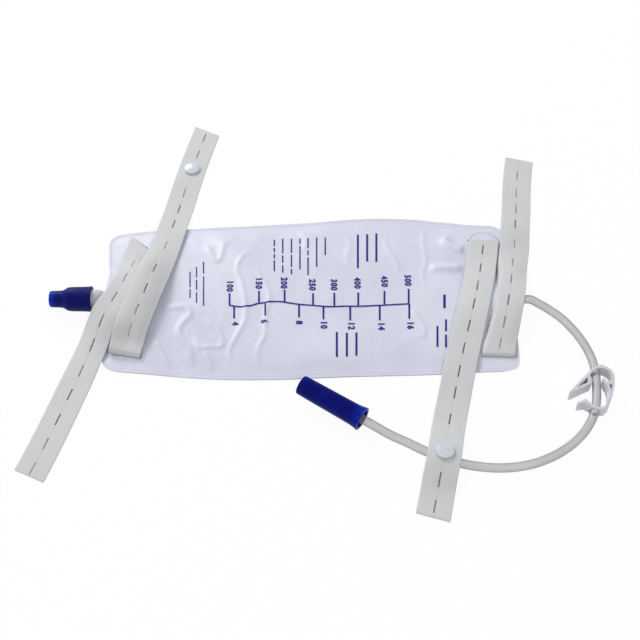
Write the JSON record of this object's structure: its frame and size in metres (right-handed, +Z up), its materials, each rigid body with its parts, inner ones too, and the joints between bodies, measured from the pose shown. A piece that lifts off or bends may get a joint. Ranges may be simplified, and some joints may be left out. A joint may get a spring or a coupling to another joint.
{
  "type": "urine drainage bag",
  "caption": "Flat film leg bag lying on its back, with a twist drain valve at one end, a capped inlet tube with a pinch clamp at the other, and elastic straps with buttons.",
  "frame": {"origin": "middle of the footprint of the bag and its straps, on the surface that it lies on; the inlet tube and what is on it are left out of the footprint", "axes": "+X from the drain valve towards the inlet, along the bag; +Y along the straps, away from the capped end of the tube; +Z up, out of the printed face"},
  "size_m": [0.4364, 0.4052, 0.0204],
  "materials": {
    "milky_film": "soft translucent vinyl film",
    "clear_vinyl": "clear soft vinyl",
    "knitted_elastic": "ribbed knitted elastic with buttonholes",
    "navy_plastic": "satin moulded",
    "navy_sheath": "glossy",
    "white_plastic": "moulded",
    "seal_rubber": "matte"
  },
  "bodies": {
    "bag": {"front_film": "milky_film", "back_film": "milky_film", "reflux_valve": "clear_vinyl", "inlet_port": "clear_vinyl", "inlet_tube": "clear_vinyl", "pinch_clamp": "white_plastic", "catheter_connector": "clear_vinyl", "outlet_port": "clear_vinyl", "valve_stem": "white_plastic", "valve_o_ring": "seal_rubber", "top_strap": "knitted_elastic", "top_button": "white_plastic", "top_button_back": "white_plastic", "bottom_strap": "knitted_elastic", "bottom_button": "white_plastic", "bottom_button_back": "white_plastic"},
    "valve_sleeve": {"twist_valve": "navy_plastic"},
    "cap": {"connector_cap": "navy_sheath"}
  },
  "joints": [
    {"name": "valve_twist", "type": "hinge", "parent": "bag", "child": "valve_sleeve", "pos_m": [-0.15313, -0.0103, 0.01025], "axis": [1, 0, 0], "range_deg": [0, 90]},
    {"name": "cap_pull", "type": "slide", "parent": "bag", "child": "cap", "axis": [-0.8404, 0.5395, 0.0523], "range_m": [0, 0.048]}
  ]
}
